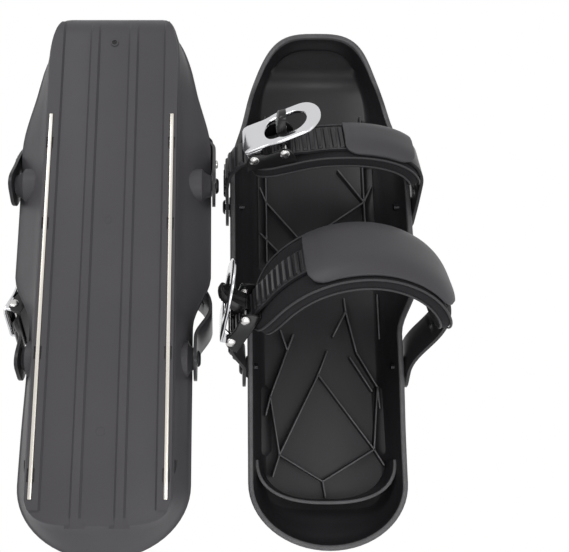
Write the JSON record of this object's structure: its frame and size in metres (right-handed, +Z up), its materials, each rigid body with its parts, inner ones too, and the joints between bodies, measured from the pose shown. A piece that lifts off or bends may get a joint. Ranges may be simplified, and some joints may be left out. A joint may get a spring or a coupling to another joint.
{
  "type": "pair of skiboards",
  "caption": "Mini skiboards for winter boots: hollow plastic trays with steel runners and ratchet ankle and toe straps, one standing and one lying upside down.",
  "frame": {"origin": "centre of the pair's bounding box on the floor", "axes": "+Y runs from tail to nose of both boards, +X points right as in the picture, +Z is up"},
  "size_m": [0.3416, 0.432, 0.1431],
  "materials": {
    "shell_plastic": "moulded black plastic with a faint sheen",
    "runner_steel": "bright drawn strip",
    "strap_plastic": "flexible black plastic, semi-gloss",
    "pad_foam": "closed foam in a knitted skin",
    "cover_leather": "smooth grained black sheet",
    "buckle_plastic": "glossy black plastic",
    "lever_chrome": "polished",
    "rivet_steel": "domed steel",
    "screw_black": "blackened steel"
  },
  "bodies": {
    "left_board": {"left_board_shell": "shell_plastic", "left_outer_runner": "runner_steel", "left_inner_runner": "runner_steel", "left_ankle_ladder_screw": "screw_black", "left_ankle_adjuster_screw": "screw_black", "left_toe_ladder_screw": "screw_black", "left_toe_adjuster_screw": "screw_black"},
    "left_ankle_strap": {"left_ankle_ladder_strap": "strap_plastic", "left_ankle_adjuster_strap": "strap_plastic", "left_ankle_pad": "pad_foam", "left_ankle_cover": "cover_leather", "left_ankle_buckle_frame": "buckle_plastic", "left_ankle_lever_rivet": "rivet_steel", "left_ankle_tab_rivet": "rivet_steel", "left_ankle_pawl_spring": "rivet_steel", "left_ankle_pad_screw": "rivet_steel"},
    "left_ankle_lever": {"left_ankle_lever": "lever_chrome"},
    "left_ankle_release": {"left_ankle_release_tab": "buckle_plastic"},
    "left_toe_strap": {"left_toe_ladder_strap": "strap_plastic", "left_toe_adjuster_strap": "strap_plastic", "left_toe_pad": "pad_foam", "left_toe_cover": "cover_leather", "left_toe_buckle_frame": "buckle_plastic", "left_toe_lever_rivet": "rivet_steel", "left_toe_tab_rivet": "rivet_steel", "left_toe_pawl_spring": "rivet_steel", "left_toe_pad_screw": "rivet_steel"},
    "left_toe_lever": {"left_toe_lever": "lever_chrome"},
    "left_toe_release": {"left_toe_release_tab": "buckle_plastic"},
    "right_board": {"right_board_shell": "shell_plastic", "right_outer_runner": "runner_steel", "right_inner_runner": "runner_steel", "right_ankle_ladder_screw": "screw_black", "right_ankle_adjuster_screw": "screw_black", "right_toe_ladder_screw": "screw_black", "right_toe_adjuster_screw": "screw_black"},
    "right_ankle_strap": {"right_ankle_ladder_strap": "strap_plastic", "right_ankle_adjuster_strap": "strap_plastic", "right_ankle_pad": "pad_foam", "right_ankle_cover": "cover_leather", "right_ankle_buckle_frame": "buckle_plastic", "right_ankle_lever_rivet": "rivet_steel", "right_ankle_tab_rivet": "rivet_steel", "right_ankle_pawl_spring": "rivet_steel", "right_ankle_pad_screw": "rivet_steel"},
    "right_ankle_lever": {"right_ankle_lever": "lever_chrome"},
    "right_ankle_release": {"right_ankle_release_tab": "buckle_plastic"},
    "right_toe_strap": {"right_toe_ladder_strap": "strap_plastic", "right_toe_adjuster_strap": "strap_plastic", "right_toe_pad": "pad_foam", "right_toe_cover": "cover_leather", "right_toe_buckle_frame": "buckle_plastic", "right_toe_lever_rivet": "rivet_steel", "right_toe_tab_rivet": "rivet_steel", "right_toe_pawl_spring": "rivet_steel", "right_toe_pad_screw": "rivet_steel"},
    "right_toe_lever": {"right_toe_lever": "lever_chrome"},
    "right_toe_release": {"right_toe_release_tab": "buckle_plastic"}
  },
  "joints": [
    {"name": "left_ankle_swing", "type": "hinge", "parent": "left_board", "child": "left_ankle_strap", "pos_m": [0.08359, -0.075, 0.028], "axis": [-1, 0, 0], "range_deg": [-40, 5]},
    {"name": "left_ankle_lever_swing", "type": "hinge", "parent": "left_ankle_strap", "child": "left_ankle_lever", "pos_m": [0.00744, -0.04676, 0.06287], "axis": [0, -0.7771, 0.6293], "range_deg": [-12, 20]},
    {"name": "left_ankle_release_swing", "type": "hinge", "parent": "left_ankle_strap", "child": "left_ankle_release", "pos_m": [0.01826, -0.03328, 0.07952], "axis": [0, 0.7771, -0.6293], "range_deg": [0, 15], "stiffness_Nm_per_rad": 0.06, "springref_deg": -11.46},
    {"name": "left_toe_swing", "type": "hinge", "parent": "left_board", "child": "left_toe_strap", "pos_m": [0.08359, 0.061, 0.028], "axis": [-1, 0, 0], "range_deg": [-25, 8]},
    {"name": "left_toe_lever_swing", "type": "hinge", "parent": "left_toe_strap", "child": "left_toe_lever", "pos_m": [0.02608, 0.09286, 0.08548], "axis": [0, -0.8746, 0.4848], "range_deg": [-6, 60]},
    {"name": "left_toe_release_swing", "type": "hinge", "parent": "left_toe_strap", "child": "left_toe_release", "pos_m": [0.04915, 0.09607, 0.09127], "axis": [0, 0.8746, -0.4848], "range_deg": [0, 15], "stiffness_Nm_per_rad": 0.06, "springref_deg": -11.46},
    {"name": "right_ankle_swing", "type": "hinge", "parent": "right_board", "child": "right_ankle_strap", "pos_m": [-0.08352, -0.075, 0.07889], "axis": [1, 0, 0], "range_deg": [-30, 2]},
    {"name": "right_ankle_lever_swing", "type": "hinge", "parent": "right_ankle_strap", "child": "right_ankle_lever", "pos_m": [-0.16142, -0.04017, 0.04534], "axis": [0, 0.5299, 0.848], "range_deg": [-3, 60]},
    {"name": "right_ankle_release_swing", "type": "hinge", "parent": "right_ankle_strap", "child": "right_ankle_release", "pos_m": [-0.154, -0.02081, 0.03324], "axis": [0, 0.5299, 0.848], "range_deg": [0, 15], "stiffness_Nm_per_rad": 0.06, "springref_deg": -11.46},
    {"name": "right_toe_swing", "type": "hinge", "parent": "right_board", "child": "right_toe_strap", "pos_m": [-0.08352, 0.061, 0.07889], "axis": [1, 0, 0], "range_deg": [-30, 10]},
    {"name": "right_toe_lever_swing", "type": "hinge", "parent": "right_toe_strap", "child": "right_toe_lever", "pos_m": [-0.14102, 0.10984, 0.03491], "axis": [0, 0.6691, 0.7431], "range_deg": [-3, 60]},
    {"name": "right_toe_release_swing", "type": "hinge", "parent": "right_toe_strap", "child": "right_toe_release", "pos_m": [-0.11795, 0.11476, 0.03049], "axis": [0, -0.6691, -0.7431], "range_deg": [0, 15], "stiffness_Nm_per_rad": 0.06, "springref_deg": -11.46},
    {"name": "right_board_lift", "type": "slide", "parent": "left_board", "child": "right_board", "axis": [0, 0, 1], "range_m": [0, 0.25]}
  ]
}
